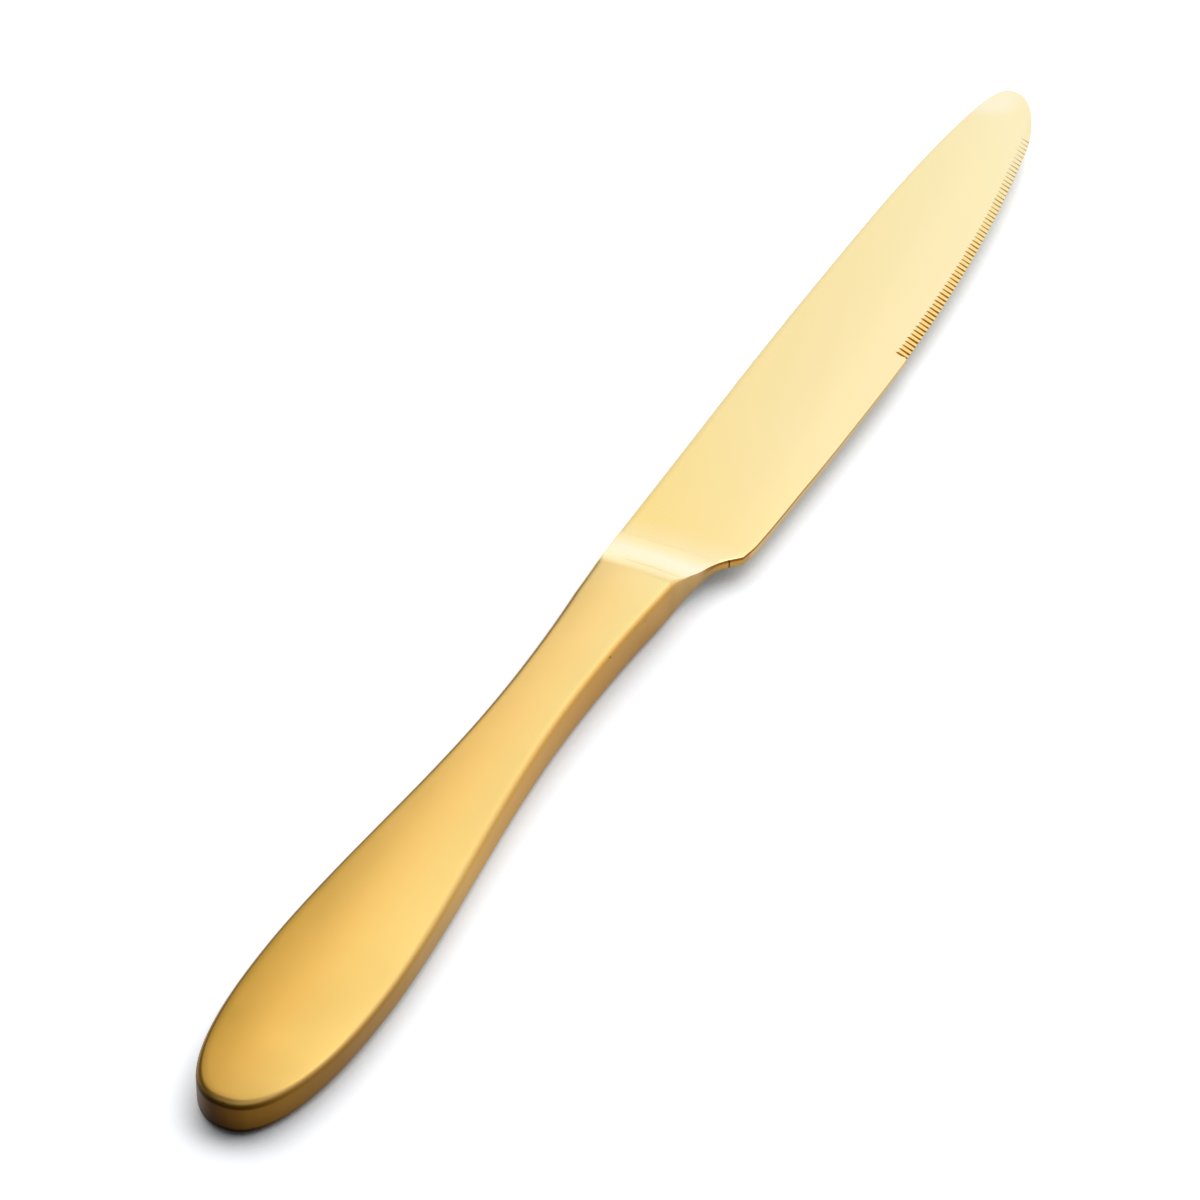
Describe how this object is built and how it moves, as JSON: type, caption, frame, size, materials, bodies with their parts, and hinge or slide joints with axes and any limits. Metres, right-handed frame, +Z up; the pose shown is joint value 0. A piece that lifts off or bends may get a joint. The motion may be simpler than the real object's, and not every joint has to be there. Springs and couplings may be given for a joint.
{
  "type": "table knife",
  "caption": "Table knife with a flat, slender hollow handle and a broad round-nosed blade, finely grooved along the edge towards the tip.",
  "frame": {"origin": "middle of the handle's flat underside, in the plane that the knife rests on", "axes": "+X along the handle towards the tip of the blade, +Y across it towards the spine, +Z up from the table"},
  "size_m": [0.236, 0.0207, 0.006],
  "materials": {
    "blade_steel": "satin, gold-coloured coating",
    "handle_steel": "satin, gold-coloured coating",
    "solder": "dressed flush and coated with the handle",
    "cement": "cast, hidden"
  },
  "bodies": {
    "root": {"blade": "blade_steel", "handle_shell_top": "handle_steel", "handle_shell_bottom": "handle_steel", "handle_filler": "cement", "seam_solder": "solder", "neck_solder": "solder"}
  },
  "joints": []
}
